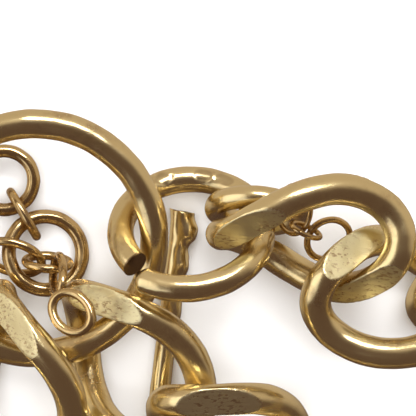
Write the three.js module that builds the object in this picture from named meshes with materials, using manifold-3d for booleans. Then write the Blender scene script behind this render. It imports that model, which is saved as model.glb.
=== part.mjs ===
// A heavy curb chain bracelet in antique yellow gold, laid out as a loop on a flat surface.
// Sixteen twisted, filed curb links run from an open connecting ring round to a large plain
// clasp ring. A jump ring with a fine safety chain, a toggle bar and a short chain with
// small rings lie at the fastening.
// Millimetres, +Z up, the surface at z = 0, turns in degrees.

import * as THREE from 'three';
import { mergeVertices } from 'three/addons/utils/BufferGeometryUtils.js';
import Module from 'manifold-3d';

const wasm = await Module();
wasm.setup();

// ---------------------------------------------------------------------------------------
// Driving dimensions
// ---------------------------------------------------------------------------------------

const CURB = { halfLength: 7, halfWidth: 4.6, wire: 1.28, twist: 97, filedAt: 2.25, steps: 24, sides: 8 };

const CLASP_RING = { radius: 9.3, wire: 1.18, steps: 40, sides: 8 };
const CONNECTING_RING = {
  radius: 5.57, wire: 1.09, from: 231, sweep: 349, offset: 0.4,
  spring: 0.5, springShare: 0.25, steps: 28, sides: 8,
};
const JUMP_RING = { radius: 3.3, wire: 0.95, steps: 18, sides: 8 };
const SMALL_RING = { radius: 3, wire: 0.6, steps: 20, sides: 8 };
const SIDE_RING = { radius: 2.4, wire: 0.55, steps: 16, sides: 8 };
const TOGGLE = { length: 22.9, wire: 0.86, endWire: 1.05, endLength: 1.4, sides: 12 };
const DROP_WIRE = { wire: 0.38, steps: 14, sides: 6 };
const DROP_LOOP_WIRE = { wire: 0.42, steps: 14, sides: 6 };
const SAFETY_WIRE = { wire: 0.22, steps: 14, sides: 6 };
const SAFETY_END_WIRE = { wire: 0.28, steps: 14, sides: 6 };

// The lying links follow a round bend between the two groups of tumbled ones.
const BEND = { center: [31, -27.2], radius: 20.2, to: -155 };

const MERGE_TOLERANCE = 1e-4;
const SLAB = 40;

// ---------------------------------------------------------------------------------------
// Finishes
// ---------------------------------------------------------------------------------------

const gold = (color, roughness) => new THREE.MeshStandardMaterial({ color, roughness, metalness: 1 });
const finishes = {
  link: gold(0xb89452, 0.28),
  ring: gold(0xa9823f, 0.26),
  fine: gold(0x9c7438, 0.32),
};

// ---------------------------------------------------------------------------------------
// Solids
// ---------------------------------------------------------------------------------------

// Leaves only positions on a geometry and joins the vertices that its faces share.
function welded(geometry) {
  geometry.deleteAttribute('normal');
  geometry.deleteAttribute('uv');
  return mergeVertices(geometry, MERGE_TOLERANCE);
}

function solidOf(geometry) {
  const shared = welded(geometry);
  return new wasm.Manifold(new wasm.Mesh({
    numProp: 3,
    vertProperties: new Float32Array(shared.attributes.position.array),
    triVerts: new Uint32Array(shared.index.array),
  }));
}

function geometryOf(solid) {
  const { vertProperties, triVerts, numProp } = solid.getMesh();
  const positions = new Float32Array((vertProperties.length / numProp) * 3);
  for (let i = 0; i < positions.length / 3; i += 1) {
    positions.set(vertProperties.subarray(i * numProp, i * numProp + 3), i * 3);
  }
  const geometry = new THREE.BufferGeometry();
  geometry.setAttribute('position', new THREE.BufferAttribute(positions, 3));
  geometry.setIndex(new THREE.BufferAttribute(new Uint32Array(triVerts), 1));
  return geometry;
}

// ---------------------------------------------------------------------------------------
// Centrelines
// ---------------------------------------------------------------------------------------

// An oval of round wire whose two ends are turned against each other, as a curb link is.
// A twist of zero leaves a plain flat oval.
class TwistedOval extends THREE.Curve {
  constructor(halfLength, halfWidth, twist = 0) {
    super();
    this.halfLength = halfLength;
    this.halfWidth = halfWidth;
    this.halfTwist = THREE.MathUtils.degToRad(twist / 2);
  }

  getPoint(t, target = new THREE.Vector3()) {
    const angle = t * 2 * Math.PI;
    const along = Math.cos(angle);
    const out = this.halfWidth * Math.sin(angle);
    const turn = -this.halfTwist * along;
    return target.set(this.halfLength * along, out * Math.cos(turn), out * Math.sin(turn));
  }
}

// A ring that has been cut and sprung: its ends stand apart along the ring's own axis, and the
// first one stands a little wide of the round.
class OpenRing extends THREE.Curve {
  constructor({ radius, from, sweep, offset, spring, springShare }) {
    super();
    Object.assign(this, { radius, from, sweep, offset, spring, springShare });
  }

  getPoint(t, target = new THREE.Vector3()) {
    const angle = THREE.MathUtils.degToRad(this.from + this.sweep * t);
    const radius = this.radius + this.spring * Math.max(0, 1 - t / this.springShare) ** 2;
    return target.set(
      radius * Math.cos(angle),
      radius * Math.sin(angle),
      this.offset * (t - 0.5),
    );
  }
}

// ---------------------------------------------------------------------------------------
// Wire shapes
// ---------------------------------------------------------------------------------------

function closedWire(curve, { wire, steps, sides }) {
  return welded(new THREE.TubeGeometry(curve, steps, wire, sides, true));
}

function openWire(curve, { wire, steps, sides }) {
  const section = new THREE.Shape(new THREE.EllipseCurve(0, 0, wire, wire).getPoints(sides).slice(0, -1));
  const extruded = new THREE.ExtrudeGeometry(section, { steps, extrudePath: curve, bevelEnabled: false });
  return welded(extruded);
}

function slabFrom(height, direction) {
  const slab = new THREE.BoxGeometry(SLAB, SLAB, SLAB);
  slab.translate(0, 0, direction * (height + SLAB / 2));
  return solidOf(slab);
}

// One curb link: a twisted oval of wire, filed flat above and below.
function curbLinkGeometry() {
  const { halfLength, halfWidth, twist, filedAt } = CURB;
  const wire = solidOf(closedWire(new TwistedOval(halfLength, halfWidth, twist), CURB));
  return geometryOf(wire.subtract(slabFrom(filedAt, 1)).subtract(slabFrom(filedAt, -1)));
}

// ---------------------------------------------------------------------------------------
// Placing
// ---------------------------------------------------------------------------------------

const bracelet = new THREE.Group();

// Adds a named mesh at a point, turned by yaw about +Z, then pitch, then roll about its own X.
function add(name, geometry, finish, [x, y, z], [yaw, pitch, roll]) {
  const mesh = new THREE.Mesh(geometry, finish);
  mesh.name = name;
  mesh.position.set(x, y, z);
  const [rollAngle, pitchAngle, yawAngle] = [roll, pitch, yaw].map(THREE.MathUtils.degToRad);
  mesh.rotation.set(rollAngle, pitchAngle, yawAngle, 'ZYX');
  bracelet.add(mesh);
  return mesh;
}

// ---------------------------------------------------------------------------------------
// The loop of curb links
// ---------------------------------------------------------------------------------------

// The links at the fastening lie tumbled over the rings; the others lie on their filed faces.
const tumbledLinks = {
  1: { at: [8.05, -2.3, 7.03], turn: [-2.1, -9, 43.3] },
  2: { at: [15.02, -7, 5.22], turn: [-2.6, 20.4, -21.5] },
  15: { at: [2.32, -18.77, 4.23], turn: [-34.2, 19.8, 13.9] },
  16: { at: [-6.1, -12.38, 4.9], turn: [-50.8, -10.1, 25.1] },
};
const firstLying = { number: 3, at: [24.21, -6.89], yaw: 6.2 };
const lastLying = { number: 14, at: [8.26, -26.16], yaw: 121.3 };

// Points at even steps along the bend, from the first lying link to the last.
function lyingPlaces() {
  const { center: [x, y], radius, to } = BEND;
  const route = new THREE.Path();
  route.moveTo(...firstLying.at);
  route.lineTo(x, y + radius);
  route.absarc(x, y, radius, Math.PI / 2, THREE.MathUtils.degToRad(to), true);
  route.lineTo(...lastLying.at);
  return route.getSpacedPoints(lastLying.number - firstLying.number);
}

const headingBetween = (from, to) => THREE.MathUtils.radToDeg(to.clone().sub(from).angle());
const linkName = (number) => `curb_link_${String(number).padStart(2, '0')}`;

function addCurbLinks() {
  const geometry = curbLinkGeometry();
  const places = lyingPlaces();
  for (const [number, { at, turn }] of Object.entries(tumbledLinks)) {
    add(linkName(number), geometry, finishes.link, at, turn);
  }
  places.forEach((place, i) => {
    const number = firstLying.number + i;
    const end = [firstLying, lastLying].find((link) => link.number === number);
    const yaw = end ? end.yaw : headingBetween(places[i - 1], places[i + 1]);
    add(linkName(number), geometry, finishes.link, [place.x, place.y, CURB.filedAt], [yaw, 0, 0]);
  });
  add('spare_curb_link', geometry, finishes.link, [-15.08, -13.73, 4.92], [-78.7, -4.4, 37.3]);
}

// ---------------------------------------------------------------------------------------
// Rings and the toggle bar
// ---------------------------------------------------------------------------------------

function addRings() {
  const clasp = closedWire(new TwistedOval(CLASP_RING.radius, CLASP_RING.radius), CLASP_RING);
  add('clasp_ring', clasp, finishes.ring, [-13.48, -2.52, 5.98], [-0.1, 1.3, 12.7]);
  const connecting = openWire(new OpenRing(CONNECTING_RING), CONNECTING_RING);
  add('connecting_ring', connecting, finishes.ring, [-1.24, -1.74, 5.85], [1, -1.7, -43.2]);
  const jump = closedWire(new TwistedOval(JUMP_RING.radius, JUMP_RING.radius), JUMP_RING);
  add('jump_ring', jump, finishes.ring, [3.96, -0.21, 4.01], [-4, -2.5, 71]);
}

// A straight bar of round wire, a little spread at both cut ends, lying along X.
function toggleBarGeometry() {
  const { length, wire, endWire, endLength, sides } = TOGGLE;
  const half = length / 2;
  const profile = [
    [0, -half],
    [endWire, -half],
    [wire, endLength - half],
    [wire, half - endLength],
    [endWire, half],
    [0, half],
  ];
  const bar = new THREE.LatheGeometry(profile.map(([radius, along]) => new THREE.Vector2(radius, along)), sides);
  bar.rotateZ(-Math.PI / 2);
  return welded(bar);
}

function addToggleBar() {
  add('toggle_bar', toggleBarGeometry(), finishes.ring, [-3.46, -11.5, 1.12], [83, 0, 22.5]);
}

// ---------------------------------------------------------------------------------------
// The thin chains
// ---------------------------------------------------------------------------------------

const thinLinks = {
  side_link: { size: [2.1, 1.4], wire: DROP_WIRE, at: [-14.96, -0.46, 1.74], turn: [-59, -4.8, 83.5] },
  drop_link_1: { size: [2.35, 1.7], wire: DROP_WIRE, at: [-15.71, -3.98, 2.56], turn: [-14.8, 3.2, 42.9] },
  drop_link_2: { size: [1.75, 1.3], wire: DROP_WIRE, at: [-12.91, -4.35, 2.77], turn: [-4.9, 0.1, 111.4] },
  drop_link_3: { size: [2.6, 1.35], wire: DROP_LOOP_WIRE, at: [-11.86, -5.37, 5.01], turn: [-66.3, -62.7, 53] },
  drop_link_4: { size: [1.8, 1.5], wire: DROP_WIRE, at: [-10.45, -8, 8.92], turn: [-44.1, -15.1, 1.5] },
  safety_link_1: { size: [2, 1.72], wire: SAFETY_WIRE, at: [6.83, -0.09, 5.92], turn: [-73.5, -27.8, 41.5] },
  safety_link_2: { size: [1.3, 0.9], wire: SAFETY_WIRE, at: [7.7, -1.72, 6.69], turn: [-18.9, 25.2, -65.2] },
  safety_link_3: { size: [2, 1.75], wire: SAFETY_END_WIRE, at: [9.58, -2.47, 5.38], turn: [-33.2, 37.2, 11.8] },
};

function addThinChains() {
  const small = closedWire(new TwistedOval(SMALL_RING.radius, SMALL_RING.radius), SMALL_RING);
  add('small_ring', small, finishes.fine, [-13.15, -3.62, 1.82], [-0.8, 14.5, -8.8]);
  const side = closedWire(new TwistedOval(SIDE_RING.radius, SIDE_RING.radius), SIDE_RING);
  add('side_ring', side, finishes.fine, [-16.55, 2.28, 1.68], [-0.8, 4.1, -1.9]);
  for (const [name, { size, wire, at, turn }] of Object.entries(thinLinks)) {
    add(name, closedWire(new TwistedOval(...size), wire), finishes.fine, at, turn);
  }
}

addCurbLinks();
addRings();
addToggleBar();
addThinChains();

// The origin is the middle of the footprint, on the surface.
const box = new THREE.Box3().setFromObject(bracelet, true);
const middle = box.getCenter(new THREE.Vector3());
bracelet.position.set(-middle.x, -middle.y, -box.min.z);

export default bracelet;
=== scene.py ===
"""Antique gold curb chain bracelet, lying in a loop on a pale table.

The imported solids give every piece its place. Each one is stood for here by a finely made
piece: round wire bent on a former, filed flat where the real one is, dented and worn.
Sizes are in metres.
"""

import logging
import math
from dataclasses import dataclass
from enum import Enum
from typing import Sequence

import bpy
import numpy as np
from mathutils import Matrix, Vector
from mathutils.bvhtree import BVHTree


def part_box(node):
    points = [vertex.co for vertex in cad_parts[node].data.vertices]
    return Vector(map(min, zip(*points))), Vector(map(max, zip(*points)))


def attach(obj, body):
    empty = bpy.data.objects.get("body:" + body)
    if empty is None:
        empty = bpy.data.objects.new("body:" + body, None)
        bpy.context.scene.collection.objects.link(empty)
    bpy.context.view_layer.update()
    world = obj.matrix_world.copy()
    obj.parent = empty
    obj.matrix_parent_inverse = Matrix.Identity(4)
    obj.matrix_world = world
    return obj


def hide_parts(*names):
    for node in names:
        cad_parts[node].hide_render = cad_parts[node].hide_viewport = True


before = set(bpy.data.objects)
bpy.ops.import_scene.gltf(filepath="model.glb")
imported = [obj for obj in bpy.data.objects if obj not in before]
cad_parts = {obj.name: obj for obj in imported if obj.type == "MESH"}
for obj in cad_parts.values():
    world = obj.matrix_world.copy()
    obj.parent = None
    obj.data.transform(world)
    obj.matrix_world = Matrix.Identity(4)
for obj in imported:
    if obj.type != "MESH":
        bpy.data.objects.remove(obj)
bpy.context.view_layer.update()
BODY = "root"

# The allowance for rounding when levels are compared.
SLACK = 1e-6
# The smallest weight that press acts on.
LEAST_WEIGHT = 0.001
# The texture's value that leaves an aged surface where it is.
UNMOVED_LEVEL = 0.62
# How far one seed shifts the pattern of wear.
SEED_STEP = (0.0137, -0.0071, 0.0053)

log = logging.getLogger("bracelet")
logging.basicConfig(level=logging.INFO, format="%(name)s: %(message)s")


# ---------------------------------------------------------------------------------------
# Places taken from the frame
# ---------------------------------------------------------------------------------------


def node_corners(node: str) -> np.ndarray:
    """Gives a CAD node's triangles.

    Args:
        node: the CAD node's name.

    Returns:
        An array of triangles by corner by coordinate.
    """
    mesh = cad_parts[node].data
    points = np.array([vertex.co[:] for vertex in mesh.vertices])
    corners = [polygon.vertices[:] for polygon in mesh.polygons]
    return points[np.array(corners)]


@dataclass(frozen=True)
class Seat:
    """Where a piece lies: its middle, and its own long, cross and upward directions."""

    middle: np.ndarray
    turn: np.ndarray

    @classmethod
    def of(cls, node: str) -> "Seat":
        """Measures a CAD node's middle and main directions, weighted by surface.

        Args:
            node: the CAD node's name.

        Returns:
            The seat, with its upward direction above the table.
        """
        corners = node_corners(node)
        edges = corners[:, 1:] - corners[:, :1]
        areas = np.linalg.norm(np.cross(edges[:, 0], edges[:, 1]), axis=1) / 2
        # The three mid-edge points of a triangle integrate a quadratic exactly.
        mids = (corners + np.roll(corners, 1, axis=1)) / 2
        weights = np.repeat(areas / 3, 3)
        points = mids.reshape(-1, 3)
        middle = np.average(points, axis=0, weights=weights)
        spread = (points - middle).T @ ((points - middle) * weights[:, None])
        directions = np.linalg.eigh(spread)[1].T
        up, along = directions[0], directions[2]
        up = up * math.copysign(1, up[2])
        along = along * math.copysign(1, along[0])
        return cls(middle, np.array([along, np.cross(up, along), up]).T)

    def levelled(self) -> "Seat":
        """Turns the seat about its long direction until its cross direction is level."""
        along = self.turn[:, 0]
        cross = np.cross((0, 0, 1), along)
        cross = cross / np.linalg.norm(cross)
        return Seat(self.middle, np.array([along, cross, np.cross(along, cross)]).T)

    def matrix(self) -> Matrix:
        """Gives the matrix that carries a piece from its bench to its seat."""
        rows = [[*self.turn[i], self.middle[i]] for i in range(3)]
        return Matrix([*rows, [0, 0, 0, 1]])


def open_ring_seat(node: str) -> Seat:
    """Finds the seat of a cut and sprung ring, with its long direction pointing at the gap.

    Args:
        node: the CAD node's name.

    Returns:
        The seat, about the circle's true centre, with the sprung end first after the gap.
    """
    rough = Seat.of(node)
    corners = (node_corners(node) - rough.middle) @ rough.turn
    points = corners.reshape(-1, 3)
    flat = points[:, :2]
    system = np.column_stack([2 * flat, np.ones(len(flat))])
    fit = np.linalg.lstsq(system, (flat**2).sum(axis=1), rcond=None)[0]
    # Only the two cut ends face along the wire, at least this squarely.
    squarely = 0.8
    faces = np.cross(corners[:, 1] - corners[:, 0], corners[:, 2] - corners[:, 0])
    reach = corners.mean(axis=1)[:, :2] - fit[:2]
    along = faces[:, 1] * reach[:, 0] - faces[:, 0] * reach[:, 1]
    length = np.linalg.norm(faces, axis=1) * np.linalg.norm(reach, axis=1)
    ends = reach[np.abs(along) > squarely * length]
    gap = math.atan2(*ends.mean(axis=0)[::-1])
    angles = np.arctan2(flat[:, 1] - fit[1], flat[:, 0] - fit[0])
    around = (angles - gap) % (2 * math.pi)
    radii = np.linalg.norm(flat - fit[:2], axis=1)
    near_end = math.radians(45)
    first, last = (radii[side].mean() for side in (around < near_end, around > 2 * math.pi - near_end))
    toward = rough.turn @ np.array([math.cos(gap), math.sin(gap), 0])
    up = rough.turn[:, 2] * math.copysign(1, first - last)
    middle = rough.middle + rough.turn @ np.array([fit[0], fit[1], 0])
    return Seat(middle, np.array([toward, np.cross(up, toward), up]).T)


# ---------------------------------------------------------------------------------------
# Shader maths
# ---------------------------------------------------------------------------------------


class Number:
    """A socket that carries a number. Arithmetic on it adds Math nodes."""

    def __init__(self, shader: "Shader", socket: bpy.types.NodeSocket) -> None:
        """Keeps the socket and the shader that it belongs to."""
        self.shader = shader
        self.socket = socket

    def _math(self, operation: str, *operands: "Number | float") -> "Number":
        """Adds a Math node.

        Args:
            operation: the Math node's operation.
            operands: its inputs, in order.

        Returns:
            The node's result.
        """
        node = self.shader.node("ShaderNodeMath", {"operation": operation}, dict(enumerate(operands)))
        return Number(self.shader, node.outputs[0])

    def __add__(self, other: "Number | float") -> "Number":
        """Adds."""
        return self._math("ADD", self, other)

    __radd__ = __add__

    def __mul__(self, other: "Number | float") -> "Number":
        """Multiplies."""
        return self._math("MULTIPLY", self, other)

    __rmul__ = __mul__

    def __sub__(self, other: "Number | float") -> "Number":
        """Subtracts."""
        return self._math("SUBTRACT", self, other)

    def __rsub__(self, other: "Number | float") -> "Number":
        """Subtracts from a number."""
        return self._math("SUBTRACT", other, self)

    def step(self, low: float, high: float) -> "Number":
        """Rises smoothly from 0 at low to 1 at high.

        Args:
            low: where the rise starts.
            high: where it ends.

        Returns:
            The stepped number.
        """
        node = self.shader.node(
            "ShaderNodeMapRange",
            {"interpolation_type": "SMOOTHSTEP"},
            {"Value": self, "From Min": low, "From Max": high},
        )
        return Number(self.shader, node.outputs[0])

    def most(self, other: "Number | float") -> "Number":
        """Takes the larger of two numbers."""
        return self._math("MAXIMUM", self, other)


class Shader:
    """The node tree of one material or of the world."""

    def __init__(self, owner: bpy.types.Material | bpy.types.World) -> None:
        """Clears the owner's node tree.

        Args:
            owner: the material or world to fill.
        """
        owner.use_nodes = True
        self.tree = owner.node_tree
        self.tree.nodes.clear()

    def node(self, kind: str, settings: dict | None = None, inputs: dict | None = None) -> bpy.types.Node:
        """Adds a node.

        Args:
            kind: the node's type.
            settings: its properties.
            inputs: a value, a Number or an output socket for each input, by name or index.

        Returns:
            The new node.
        """
        made = self.tree.nodes.new(kind)
        for key, value in (settings or {}).items():
            setattr(made, key, value)
        for key, value in (inputs or {}).items():
            if isinstance(value, Number):
                value = value.socket
            if isinstance(value, bpy.types.NodeSocket):
                self.tree.links.new(value, made.inputs[key])
            else:
                made.inputs[key].default_value = value
        return made

    def object_place(self) -> bpy.types.NodeSocket:
        """Gives the place on the object, in metres."""
        return self.node("ShaderNodeTexCoord").outputs["Object"]

    def attribute(self, name: str) -> Number:
        """Gives a number that the mesh carries."""
        return Number(self, self.node("ShaderNodeAttribute", {"attribute_name": name}).outputs["Fac"])

    def noise(
        self,
        place: bpy.types.NodeSocket,
        scale: float,
        detail: float = 2.0,
        rough: float = 0.5,
        stretch: Sequence[float] = (1, 1, 1),
        turn: Sequence[float] = (0, 0, 0),
    ) -> Number:
        """Adds a noise pattern.

        Args:
            place: the place to read it at.
            scale: waves in a metre.
            detail: how many finer layers are added.
            rough: how strong the finer layers are.
            stretch: how much denser the pattern is along each direction.
            turn: how the pattern is turned first, in radians.

        Returns:
            The pattern, from 0 to 1.
        """
        mapping = self.node("ShaderNodeMapping", {}, {"Vector": place, "Rotation": turn, "Scale": stretch})
        pattern = self.node(
            "ShaderNodeTexNoise",
            {},
            {"Vector": mapping.outputs[0], "Scale": scale, "Detail": detail, "Roughness": rough},
        )
        return Number(self, pattern.outputs["Fac"])

    def mix(
        self,
        factor: Number | float,
        low: Sequence[float] | bpy.types.NodeSocket,
        high: Sequence[float] | bpy.types.NodeSocket,
    ) -> bpy.types.NodeSocket:
        """Mixes two colours.

        Args:
            factor: how much of the second colour shows.
            low: the first colour.
            high: the second colour.

        Returns:
            The mixed colour.
        """
        colours = [(*c, 1.0) if isinstance(c, tuple) else c for c in (low, high)]
        made = self.node(
            "ShaderNodeMix",
            {"data_type": "RGBA"},
            {0: factor, 6: colours[0], 7: colours[1]},
        )
        return made.outputs[2]


# ---------------------------------------------------------------------------------------
# Finishes
# ---------------------------------------------------------------------------------------


class Slot(Enum):
    """The record's material slots."""

    LINK = "link_gold"
    RING = "ring_gold"
    FINE = "fine_gold"


@dataclass(frozen=True)
class GoldFinish:
    """Worn yellow gold: polished wire with brown toning, painted shade where pieces touch and in punch
    dents, darker cut ends, and scratched filed faces.
    """

    slot: Slot
    gold: tuple[float, float, float]
    toning: tuple[float, float, float]
    filed: tuple[float, float, float]
    polish: float
    toned: float
    scratched: float
    # The colour of the darker flat cut end, and of the painted shade in the punch dents.
    dark_end_and_dent_shade: tuple[float, float, float] = (0.2, 0.12, 0.065)
    mottle_scale: float = 260
    cloud_scale: float = 1100
    grain_scale: float = 6500
    bump_depth: float = 0.00003

    def material(self) -> bpy.types.Material:
        """Makes the material.

        Returns:
            The finished material.
        """
        made = bpy.data.materials.new(self.slot.value)
        shader = Shader(made)
        place = shader.object_place()
        filed = shader.attribute("filed")
        # How close other pieces come, read for the painted shade where they touch.
        painted_contact_shade = shader.attribute("painted_contact_shade")
        mottle = shader.noise(place, self.mottle_scale, 3, 0.55)
        cloud = shader.noise(place, self.cloud_scale, 3, 0.6)
        grain = shader.noise(place, self.grain_scale, 2, 0.6)
        cut = shader.attribute("cut")
        film = (mottle * 0.65 + cloud * 0.35).step(0.5, 0.7) * self.toned
        # Painted shade where other pieces touch, mixed with the random brown toning.
        toning_and_painted_shade = (painted_contact_shade * painted_contact_shade * 0.85).most(film)
        nicks = self._nicks(shader, place) * filed
        lines = self._scratches(shader, place)
        # The toning colour paints both the random toning and the shade where pieces touch.
        colour = shader.mix(toning_and_painted_shade, self.gold, self.toning)
        face = shader.mix(nicks * 0.75, self.filed, self.toning)
        colour = shader.mix(filed * self.scratched, colour, face)
        # Darker on the flat cut end, and painted shade in the punch dents, which mutes the highlight there.
        colour = shader.mix(cut * 0.8, colour, self.dark_end_and_dent_shade)
        roughness = self.polish + toning_and_painted_shade * 0.14 + (grain - 0.5) * 0.04 + filed * self.scratched * 0.17
        height = grain * 0.05 + cloud * 0.75 + lines * (filed * 0.6 + 0.1) - nicks * 0.9
        bump = shader.node(
            "ShaderNodeBump", {}, {"Strength": 0.5, "Distance": self.bump_depth, "Height": height}
        )
        surface = shader.node(
            "ShaderNodeBsdfPrincipled",
            {},
            {
                "Base Color": colour,
                "Metallic": 1.0,
                "Roughness": roughness,
                "Normal": bump.outputs[0],
            },
        )
        shader.node("ShaderNodeOutputMaterial", {}, {"Surface": surface.outputs[0]})
        return made

    @staticmethod
    def _nicks(shader: Shader, place: bpy.types.NodeSocket) -> Number:
        """Adds the short fine nicks of a worn filed face, in patches.

        Args:
            shader: the shader to add them to.
            place: the place to read them at.

        Returns:
            1 in a nick and 0 beside it.
        """
        short = shader.noise(place, 4600, 2, 0.6, (0.32, 1, 1), (0, 0, 0.9)).step(0.56, 0.64)
        crackle = shader.noise(place, 3400, 3, 0.7, (0.6, 1, 1), (0, 0, 2.2)).step(0.57, 0.65)
        patch = shader.noise(place, 330, 2, 0.5).step(0.38, 0.56)
        return short.most(crackle) * patch

    @staticmethod
    def _scratches(shader: Shader, place: bpy.types.NodeSocket) -> Number:
        """Adds fine scratches that cross at a few slants.

        Args:
            shader: the shader to add them to.
            place: the place to read them at.

        Returns:
            1 along a scratch and 0 beside it.
        """
        found: Number | None = None
        for slant, scale in ((0.4, 1500), (1.3, 2100), (2.3, 1200)):
            line = shader.noise(place, scale, 1, 0.4, (0.06, 1, 1), (0, 0.3, slant)).step(0.62, 0.7)
            found = line if found is None else found.most(line)
        return found


LINK_FINISH = GoldFinish(
    slot=Slot.LINK,
    gold=(0.86, 0.72, 0.40),
    toning=(0.42, 0.26, 0.13),
    filed=(0.90, 0.84, 0.53),
    polish=0.23,
    toned=0.45,
    scratched=0.85,
)
RING_FINISH = GoldFinish(
    slot=Slot.RING,
    gold=(0.84, 0.70, 0.39),
    toning=(0.38, 0.23, 0.12),
    filed=(0.84, 0.70, 0.40),
    polish=0.22,
    toned=0.45,
    scratched=0.4,
)
FINE_FINISH = GoldFinish(
    slot=Slot.FINE,
    gold=(0.72, 0.54, 0.27),
    toning=(0.26, 0.145, 0.065),
    filed=(0.66, 0.50, 0.27),
    polish=0.2,
    toned=0.8,
    scratched=0.3,
)


@dataclass(frozen=True)
class TableFinish:
    """The plain pale table top."""

    colour: tuple[float, float, float] = (0.93, 0.94, 0.95)
    roughness: float = 0.7

    def material(self) -> bpy.types.Material:
        """Makes the material."""
        made = bpy.data.materials.new("pale_table")
        shader = Shader(made)
        surface = shader.node(
            "ShaderNodeBsdfPrincipled",
            {},
            {"Base Color": (*self.colour, 1.0), "Roughness": self.roughness},
        )
        shader.node("ShaderNodeOutputMaterial", {}, {"Surface": surface.outputs[0]})
        return made


# ---------------------------------------------------------------------------------------
# The goldsmith's bench
# ---------------------------------------------------------------------------------------


def deselect() -> None:
    """Leaves edit mode and deselects everything."""
    if bpy.context.mode != "OBJECT":
        bpy.ops.object.mode_set(mode="OBJECT")
    bpy.ops.object.select_all(action="DESELECT")


def pick(piece: bpy.types.Object) -> None:
    """Makes a piece the only selected one."""
    deselect()
    piece.select_set(True)
    bpy.context.view_layer.objects.active = piece


def place_array(piece: bpy.types.Object) -> np.ndarray:
    """Gives a mesh's vertex places as an array."""
    places = np.zeros(len(piece.data.vertices) * 3)
    piece.data.vertices.foreach_get("co", places)
    return places.reshape(-1, 3)


def select_vertices(piece: bpy.types.Object, chosen: np.ndarray) -> None:
    """Goes into edit mode with only the chosen vertices selected.

    Args:
        piece: the mesh object.
        chosen: a true or false value for each vertex.
    """
    pick(piece)
    bpy.ops.object.mode_set(mode="EDIT")
    bpy.ops.mesh.select_mode(type="VERT")
    bpy.ops.mesh.select_all(action="DESELECT")
    bpy.ops.object.mode_set(mode="OBJECT")
    piece.data.vertices.foreach_set("select", chosen)
    bpy.ops.object.mode_set(mode="EDIT")


def mark(piece: bpy.types.Object, name: str, values: np.ndarray) -> None:
    """Stores a number on each vertex for the finish to read.

    Args:
        piece: the mesh object.
        name: the attribute's name.
        values: a value for each vertex.
    """
    attribute = piece.data.attributes.get(name) or piece.data.attributes.new(name, "FLOAT", "POINT")
    attribute.data.foreach_set("value", values.astype(np.float32))


def press(piece: bpy.types.Object, weights: np.ndarray, height: float) -> None:
    """Raises or dents the surface where the weights say.

    Args:
        piece: the mesh object.
        weights: how strongly each vertex moves, from 0 to 1.
        height: how far a whole weight moves outwards, or inwards if negative.
    """
    pick(piece)
    group = piece.vertex_groups.new(name="press")
    name = group.name
    for index in np.nonzero(weights > LEAST_WEIGHT)[0]:
        group.add([int(index)], float(weights[index]), "REPLACE")
    modifier = piece.modifiers.new("press", "DISPLACE")
    modifier.strength = height
    modifier.mid_level = 0.0
    modifier.vertex_group = name
    bpy.ops.object.modifier_apply(modifier=modifier.name)
    # Applying the modifier leaves the first reference to the group stale.
    piece.vertex_groups.remove(piece.vertex_groups[name])


@dataclass(frozen=True)
class Wear:
    """The soft unevenness of hand work and wear: its height, the width of one wave, and its seed."""

    depth: float
    width: float
    seed: int


def age(piece: bpy.types.Object, wear: Wear) -> None:
    """Gives a surface its wear.

    Args:
        piece: the mesh object.
        wear: the wear. Its seed shifts the pattern, so that pieces differ.
    """
    waves = bpy.data.textures.new("waves", "CLOUDS")
    waves.noise_scale = wear.width
    waves.noise_depth = 1
    shift = bpy.data.objects.new("waves_shift", None)
    shift.location = [wear.seed * step for step in SEED_STEP]
    bpy.context.scene.collection.objects.link(shift)
    pick(piece)
    modifier = piece.modifiers.new("waves", "DISPLACE")
    modifier.texture = waves
    modifier.texture_coords = "OBJECT"
    modifier.texture_coords_object = shift
    modifier.strength = wear.depth
    modifier.mid_level = UNMOVED_LEVEL
    bpy.context.view_layer.update()
    bpy.ops.object.modifier_apply(modifier=modifier.name)
    bpy.data.objects.remove(shift)


def bend_wire(
    name: str,
    route: np.ndarray,
    wire: float,
    closed: bool = True,
    sides: int = 20,
    girth: np.ndarray | None = None,
) -> bpy.types.Object:
    """Bends round wire along a route.

    Args:
        name: the new piece's name.
        route: the points that the middle of the wire passes.
        wire: the wire's radius.
        closed: whether the wire's ends meet.
        sides: half of the section's edge count.
        girth: the share of the radius that the wire has at each point.

    Returns:
        The wire as a mesh object.
    """
    deselect()
    bpy.ops.mesh.primitive_circle_add(vertices=len(route), radius=wire)
    piece = bpy.context.object
    piece.name = name
    piece.data.vertices.foreach_set("co", route.reshape(-1))
    if not closed:
        last = len(route) - 1
        seam = [edge.index for edge in piece.data.edges if set(edge.vertices) == {0, last}][0]
        bpy.ops.object.mode_set(mode="EDIT")
        bpy.ops.mesh.select_mode(type="EDGE")
        bpy.ops.mesh.select_all(action="DESELECT")
        bpy.ops.object.mode_set(mode="OBJECT")
        piece.data.edges[seam].select = True
        bpy.ops.object.mode_set(mode="EDIT")
        bpy.ops.mesh.delete(type="EDGE_FACE")
        bpy.ops.object.mode_set(mode="OBJECT")
    pick(piece)
    bpy.ops.object.convert(target="CURVE")
    curve = piece.data
    curve.bevel_depth = wire
    curve.bevel_resolution = sides - 2
    curve.use_fill_caps = not closed
    if girth is not None:
        points = curve.splines[0].points
        # The conversion may start the curve at either end of the route.
        forwards = np.linalg.norm(route - points[0].co[:3], axis=1).argmin() == 0
        points.foreach_set("radius", girth if forwards else girth[::-1])
    bpy.ops.object.convert(target="MESH")
    return piece


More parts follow.
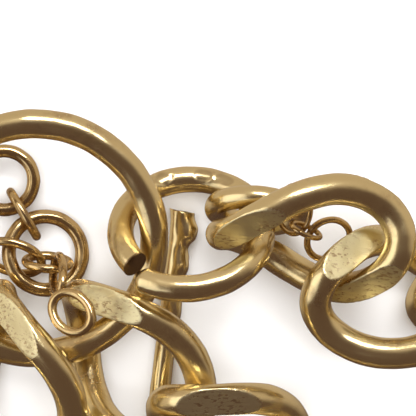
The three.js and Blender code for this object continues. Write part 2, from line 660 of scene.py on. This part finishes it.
class Neighbourhood:
    """Tells how close a place on a piece is to the CAD solids around it."""

    reach = 0.0013

    def __init__(self) -> None:
        """Prepares every CAD node for measuring."""
        self.trees = {}
        self.boxes = {}
        for name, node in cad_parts.items():
            places = [vertex.co for vertex in node.data.vertices]
            faces = [polygon.vertices[:] for polygon in node.data.polygons]
            self.trees[name] = BVHTree.FromPolygons(places, faces)
            self.boxes[name] = np.array(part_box(name))

    def closeness(self, piece: bpy.types.Object, node: str) -> np.ndarray:
        """Measures a piece in its final place.

        Args:
            piece: the piece.
            node: the CAD node that it stands for, which doesn't count.

        Returns:
            A number for each vertex, from 0 out of reach to 1 where another piece touches.
        """
        places = place_array(piece)
        found = np.zeros(len(places))
        for name, tree in self.trees.items():
            low, high = self.boxes[name]
            near = ((places > low - self.reach) & (places < high + self.reach)).all(axis=1)
            for index in np.nonzero(near)[0] if name != node else ():
                distance = tree.find_nearest(Vector(places[index]), self.reach)[3]
                if distance is not None:
                    found[index] = max(found[index], 1 - distance / self.reach)
        return found


NEIGHBOURS = Neighbourhood()


def set_down(
    piece: bpy.types.Object, seat: Seat, node: str, material: bpy.types.Material
) -> None:
    """Puts a bench-made piece in its seat and hands it to the frame.

    Args:
        piece: the piece, still at the origin.
        seat: where it lies.
        node: the CAD node that it stands for.
        material: the finish.
    """
    piece.data.transform(seat.matrix())
    # The closeness to other pieces is stored for the finish's painted shade where they touch.
    mark(piece, "painted_contact_shade", NEIGHBOURS.closeness(piece, node))
    pick(piece)
    bpy.ops.object.shade_smooth()
    bpy.ops.object.mode_set(mode="EDIT")
    bpy.ops.mesh.select_all(action="SELECT")
    bpy.ops.mesh.normals_make_consistent(inside=False)
    bpy.ops.object.mode_set(mode="OBJECT")
    piece.data.materials.clear()
    piece.data.materials.append(material)
    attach(piece, BODY)
    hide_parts(node)
    log.info("%s: %d faces", piece.name, len(piece.data.polygons))


def copy_of(pattern: bpy.types.Object, name: str) -> bpy.types.Object:
    """Copies a pattern piece, with a mesh of its own."""
    piece = pattern.copy()
    piece.data = pattern.data.copy()
    piece.name = name
    bpy.context.scene.collection.objects.link(piece)
    return piece


# ---------------------------------------------------------------------------------------
# Sub-assemblies
# ---------------------------------------------------------------------------------------


def oval_route(half_length: float, half_width: float, twist: float = 0.0, points: int = 240) -> np.ndarray:
    """Gives the middle line of a link.

    Args:
        half_length: half its length, along X.
        half_width: half its width, along Y.
        twist: how far its two ends are turned against each other, in radians.
        points: how many points the line has.

    Returns:
        The points, in order.
    """
    angle = np.linspace(0, 2 * math.pi, points, endpoint=False)
    along = np.cos(angle)
    out = half_width * np.sin(angle)
    turn = -twist / 2 * along
    return np.column_stack([half_length * along, out * np.cos(turn), out * np.sin(turn)])


@dataclass
class CurbChain:
    """The heavy twisted links, filed flat above and below."""

    half_length: float = 0.007
    half_width: float = 0.0046
    wire: float = 0.00125
    twist: float = math.radians(97)
    filed_at: float = 0.00224
    wear_depth: float = 0.0001
    wear_width: float = 0.0022
    first_seed: int = 3
    numbers: range = range(1, 17)
    finish: GoldFinish = LINK_FINISH

    def pattern(self) -> bpy.types.Object:
        """Bends and files one link.

        Returns:
            The link, at the origin.
        """
        route = oval_route(self.half_length, self.half_width, self.twist)
        link = bend_wire("curb_link_pattern", route, self.wire)
        for side in (1, -1):
            level = side * self.filed_at
            proud = place_array(link)[:, 2] * side > self.filed_at
            select_vertices(link, proud)
            bpy.ops.transform.resize(value=(1, 1, 0), center_override=(0, 0, level))
            bpy.ops.object.mode_set(mode="OBJECT")
        height = np.abs(place_array(link)[:, 2])
        mark(link, "filed", (height > self.filed_at - SLACK).astype(float))
        return link

    def build(self) -> None:
        """Sets down every link of the loop, and the spare one."""
        material = self.finish.material()
        pattern = self.pattern()
        nodes = [f"curb_link_{number:02d}" for number in self.numbers] + ["spare_curb_link"]
        for seed, node in enumerate(nodes, start=self.first_seed):
            link = copy_of(pattern, f"{node}_wire")
            age(link, Wear(self.wear_depth, self.wear_width, seed))
            set_down(link, Seat.of(node), node, material)
        bpy.data.objects.remove(pattern)


@dataclass(frozen=True)
class PunchMark:
    """A blank dent left by a struck punch, at an angle about the ring."""

    around: float
    half_length: float
    half_width: float
    depth: float
    roundness: float


@dataclass
class FasteningRings:
    """The clasp ring, the cut connecting ring and the jump ring."""

    clasp_radius: float = 0.0093
    clasp_wire: float = 0.00115
    clasp_wear: Wear = Wear(0.00017, 0.0028, 41)
    cut_radius: float = 0.00557
    cut_wire: float = 0.00106
    cut_wear: Wear = Wear(0.0001, 0.0024, 42)
    cut_points: int = 420
    first_end: float = math.radians(2)
    last_end: float = math.radians(5.5)
    cut_climb: float = 0.0004
    cut_spring: float = 0.0005
    sprung_share: float = 0.25
    worn_end: float = 0.0008
    worn_most: float = 0.86
    strike_lean: float = math.radians(24)
    jump_radius: float = 0.0033
    jump_wire: float = 0.00092
    jump_wear: Wear = Wear(0.00008, 0.002, 43)
    marks: Sequence[PunchMark] = (
        PunchMark(math.radians(250), 0.0009, 0.00065, 0.00007, 1.2),
        PunchMark(math.radians(215), 0.00075, 0.0005, 0.00005, 3.0),
        PunchMark(math.radians(196), 0.0009, 0.0005, 0.00003, 2.0),
    )
    mark_rim: float = 0.2
    # How strongly the punch dents get painted shade.
    dent_shade: float = 0.4
    finish: GoldFinish = RING_FINISH

    def build(self) -> None:
        """Makes the three rings."""
        material = self.finish.material()
        clasp_route = oval_route(self.clasp_radius, self.clasp_radius, points=300)
        clasp = bend_wire("clasp_ring_wire", clasp_route, self.clasp_wire)
        age(clasp, self.clasp_wear)
        set_down(clasp, Seat.of("clasp_ring"), "clasp_ring", material)
        seat = open_ring_seat("connecting_ring")
        set_down(self._cut_ring(seat), seat, "connecting_ring", material)
        jump_route = oval_route(self.jump_radius, self.jump_radius, points=140)
        jump = bend_wire("jump_ring_wire", jump_route, self.jump_wire)
        age(jump, self.jump_wear)
        set_down(jump, Seat.of("jump_ring"), "jump_ring", material)

    def _cut_ring(self, seat: Seat) -> bpy.types.Object:
        """Bends the open ring, its gap towards +X, one end worn round and the other cut flat.

        Args:
            seat: where the ring will lie, which tells the side that the punches struck.

        Returns:
            The ring, at the origin.
        """
        share = np.linspace(0, 1, self.cut_points)
        angle = self.first_end + share * (2 * math.pi - self.first_end - self.last_end)
        radius = self.cut_radius + self.cut_spring * np.clip(1 - share / self.sprung_share, 0, None) ** 2
        route = np.column_stack(
            [radius * np.cos(angle), radius * np.sin(angle), self.cut_climb * (share - 0.5)]
        )
        inset = np.clip(1 - share * 2 * math.pi * self.cut_radius / self.worn_end, 0, self.worn_most)
        ring = bend_wire(
            "connecting_ring_wire", route, self.cut_wire, closed=False, sides=28, girth=np.sqrt(1 - inset**2)
        )
        places = place_array(ring)
        around = np.arctan2(places[:, 1], places[:, 0]) % (2 * math.pi)
        struck = seat.turn.T @ np.array([0, 0, 1])
        # The flat end is every vertex within the wire's radius of the route's last point.
        cut = (np.linalg.norm(places - route[-1], axis=1) < self.cut_wire * 1.01).astype(float)
        for punch in self.marks:
            dent = self._struck(places, around, struck, punch)
            press(ring, dent, -punch.depth)
            # The dents get painted shade through the same mark as the darker cut end.
            cut = np.maximum(cut, dent * self.dent_shade)
        age(ring, self.cut_wear)
        mark(ring, "cut", cut)
        return ring

    def _struck(
        self, places: np.ndarray, around: np.ndarray, struck: np.ndarray, punch: PunchMark
    ) -> np.ndarray:
        """Finds how deep a punch went in at each vertex.

        Args:
            places: the ring's vertices.
            around: each vertex's angle about the ring.
            struck: the direction that the struck side faces.
            punch: the punch mark.

        Returns:
            A weight for each vertex, from 0 to 1.
        """
        outward = np.column_stack([np.cos(around), np.sin(around), np.zeros_like(around)])
        from_line = places - outward * self.cut_radius
        upward = np.array([0, 0, 1.0])
        side_out = (from_line * outward).sum(axis=1)
        tilt = np.arctan2(from_line[:, 2], side_out) - np.arctan2(upward @ struck, outward @ struck)
        across = ((tilt + self.strike_lean + math.pi) % (2 * math.pi) - math.pi) * self.cut_wire
        along = (around - punch.around) * self.cut_radius
        edge = (np.abs(along) / punch.half_length) ** punch.roundness
        edge += (np.abs(across) / punch.half_width) ** punch.roundness
        return np.clip((1 + self.mark_rim - edge) / (2 * self.mark_rim), 0, 1)


@dataclass(frozen=True)
class Lump:
    """A raised spot on the toggle bar, or a dented one where its height is negative."""

    along: float
    across: float
    size: float
    height: float


@dataclass
class ToggleBar:
    """The thick bar under the last link, spread at both ends and lumpy down one side."""

    length: float = 0.0229
    wire: float = 0.00084
    spread: float = 0.26
    spread_length: float = 0.0014
    end_slant: float = math.radians(14)
    points: int = 260
    wear: Wear = Wear(0.00007, 0.0024, 51)
    lumps: Sequence[Lump] = (
        Lump(0.0101, -1.5, 0.0008, 0.0006),
        Lump(0.0093, -1.2, 0.0006, 0.00036),
        Lump(0.0078, -1.6, 0.0004, 0.0001),
        Lump(0.0069, -1.3, 0.0008, 0.0003),
        Lump(0.0031, -1.1, 0.001, 0.00015),
        Lump(0.0086, 0.6, 0.0009, -0.00014),
    )
    finish: GoldFinish = RING_FINISH

    def build(self) -> None:
        """Makes the bar."""
        material = self.finish.material()
        along = np.linspace(-0.5, 0.5, self.points) * self.length
        route = np.column_stack([along, np.zeros_like(along), np.zeros_like(along)])
        end = np.clip(1 - (self.length / 2 - np.abs(along)) / self.spread_length, 0, 1)
        bar = bend_wire(
            "toggle_bar_wire", route, self.wire, closed=False, sides=20, girth=1 + self.spread * end**2
        )
        select_vertices(bar, place_array(bar)[:, 0] > self.length / 2 - SLACK)
        bpy.ops.transform.rotate(
            value=self.end_slant, orient_axis="Z", center_override=(self.length / 2, self.wire, 0)
        )
        bpy.ops.object.mode_set(mode="OBJECT")
        places = place_array(bar)
        tilt = np.arctan2(places[:, 1], places[:, 2])
        for lump in self.lumps:
            distance = ((places[:, 0] - lump.along) / lump.size) ** 2
            distance += ((tilt - lump.across) * self.wire / lump.size) ** 2
            press(bar, np.exp(-distance), lump.height)
        age(bar, self.wear)
        set_down(bar, Seat.of("toggle_bar").levelled(), "toggle_bar", material)


@dataclass(frozen=True)
class FineLink:
    """One plain ring or oval link of thin wire."""

    node: str
    half_length: float
    half_width: float
    wire: float


@dataclass
class FineChains:
    """The small rings, the drop chain and the safety chain."""

    links: Sequence[FineLink] = (
        FineLink("small_ring", 0.003, 0.003, 0.00059),
        FineLink("side_ring", 0.0024, 0.0024, 0.00054),
        FineLink("side_link", 0.0021, 0.0014, 0.00037),
        FineLink("drop_link_1", 0.00235, 0.0017, 0.00037),
        FineLink("drop_link_2", 0.00175, 0.0013, 0.00037),
        FineLink("drop_link_3", 0.00235, 0.00135, 0.00037),
        FineLink("drop_link_4", 0.00175, 0.00135, 0.00037),
        FineLink("safety_link_1", 0.002, 0.00172, 0.000215),
        FineLink("safety_link_2", 0.0013, 0.0009, 0.000215),
        FineLink("safety_link_3", 0.002, 0.00175, 0.000275),
    )
    wear_share: float = 0.12
    wear_width: float = 0.0012
    first_seed: int = 60
    finish: GoldFinish = FINE_FINISH

    def build(self) -> None:
        """Makes every small ring and link."""
        material = self.finish.material()
        for seed, link in enumerate(self.links, start=self.first_seed):
            route = oval_route(link.half_length, link.half_width, points=96)
            piece = bend_wire(f"{link.node}_wire", route, link.wire, sides=8)
            age(piece, Wear(link.wire * self.wear_share, self.wear_width, seed))
            set_down(piece, Seat.of(link.node), link.node, material)


# ---------------------------------------------------------------------------------------
# Table, lights and camera
# ---------------------------------------------------------------------------------------


@dataclass(frozen=True)
class Panel:
    """A light panel that faces the fastening.

    It hangs at a distance from it, in a direction seen from above in degrees from +X, and at an
    angle from straight up in degrees. Its power is in watts.
    """

    name: str
    distance: float
    azimuth: float
    lean: float
    size: tuple[float, float]
    power: float
    mirrored: bool = True


@dataclass
class Studio:
    """A pale table under soft light, seen from straight above the fastening."""

    camera_height: float = 0.134
    lens: float = 140.7
    aim_offset: tuple[float, float] = (0.0013, 0.00188)
    table_size: float = 3.0
    table_drop: float = 0.00002
    dark: tuple[float, float, float] = (0.115, 0.075, 0.06)
    bright: tuple[float, float, float] = (0.57, 0.47, 0.37)
    panels: Sequence[Panel] = (
        Panel("key", distance=0.62, azimuth=74, lean=40, size=(0.1, 0.34), power=1.75),
        Panel("side", distance=0.7, azimuth=186, lean=52, size=(0.6, 0.8), power=1.35),
        Panel("fill", distance=1.2, azimuth=90, lean=5, size=(1.2, 1.2), power=20.0, mirrored=False),
    )

    def build(self) -> None:
        """Makes the table, the lights, the surroundings and the camera."""
        self._table()
        self._surroundings()
        for panel in self.panels:
            self._hang(panel)
        self._camera()
        view = bpy.context.scene.view_settings
        view.view_transform = "Standard"

    def _table(self) -> None:
        """Adds the table top."""
        deselect()
        bpy.ops.mesh.primitive_plane_add(size=self.table_size, location=(0, 0, -self.table_drop))
        table = bpy.context.object
        table.name = "table"
        table.data.materials.append(TableFinish().material())
        table.visible_glossy = False

    def _surroundings(self) -> None:
        """Makes the room that the gold reflects: pale beyond and beside, brown before and above."""
        world = bpy.data.worlds.new("room")
        bpy.context.scene.world = world
        shader = Shader(world)
        direction = shader.node("ShaderNodeTexCoord").outputs["Generated"]
        parts = shader.node("ShaderNodeSeparateXYZ", {}, {"Vector": direction})
        across = Number(shader, parts.outputs["X"])
        beyond = Number(shader, parts.outputs["Y"])
        height = Number(shader, parts.outputs["Z"])
        # Pale beyond and to the left, less so to the right, and a little darker straight above.
        share = (beyond * 0.8 + across * (across * 0.6 - 0.25) - height * 0.15).step(-0.05, 0.5)
        colour = shader.mix(share, self.dark, self.bright)
        background = shader.node("ShaderNodeBackground", {}, {"Color": colour, "Strength": 1.0})
        shader.node("ShaderNodeOutputWorld", {}, {"Surface": background.outputs[0]})

    def _hang(self, panel: Panel) -> None:
        """Hangs a light panel."""
        lamp = bpy.data.lights.new(panel.name, "AREA")
        lamp.shape = "RECTANGLE"
        lamp.size, lamp.size_y = panel.size
        lamp.energy = panel.power
        light = bpy.data.objects.new(panel.name, lamp)
        turn = Matrix.Rotation(math.radians(panel.azimuth), 4, "Z")
        turn = turn @ Matrix.Rotation(math.radians(panel.lean), 4, "Y")
        away = Matrix.Translation((0, 0, panel.distance))
        light.matrix_world = Matrix.Translation(self._aim()) @ turn @ away
        light.visible_glossy = panel.mirrored
        bpy.context.scene.collection.objects.link(light)

    def _aim(self) -> Vector:
        """Gives the point on the table that the camera looks at."""
        low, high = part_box("connecting_ring")
        middle = (low + high) / 2
        return Vector((middle.x + self.aim_offset[0], middle.y + self.aim_offset[1], 0))

    def _camera(self) -> None:
        """Adds the camera."""
        camera = bpy.data.objects.new("camera", bpy.data.cameras.new("camera"))
        camera.data.lens = self.lens
        camera.data.clip_start = 0.01
        camera.location = self._aim() + Vector((0, 0, self.camera_height))
        bpy.context.scene.collection.objects.link(camera)
        bpy.context.scene.camera = camera


def main() -> None:
    """Builds the bracelet and its studio."""
    for part in (Studio(), CurbChain(), FasteningRings(), ToggleBar(), FineChains()):
        log.info("building %s", type(part).__name__)
        part.build()


if __name__ == "__main__":
    main()
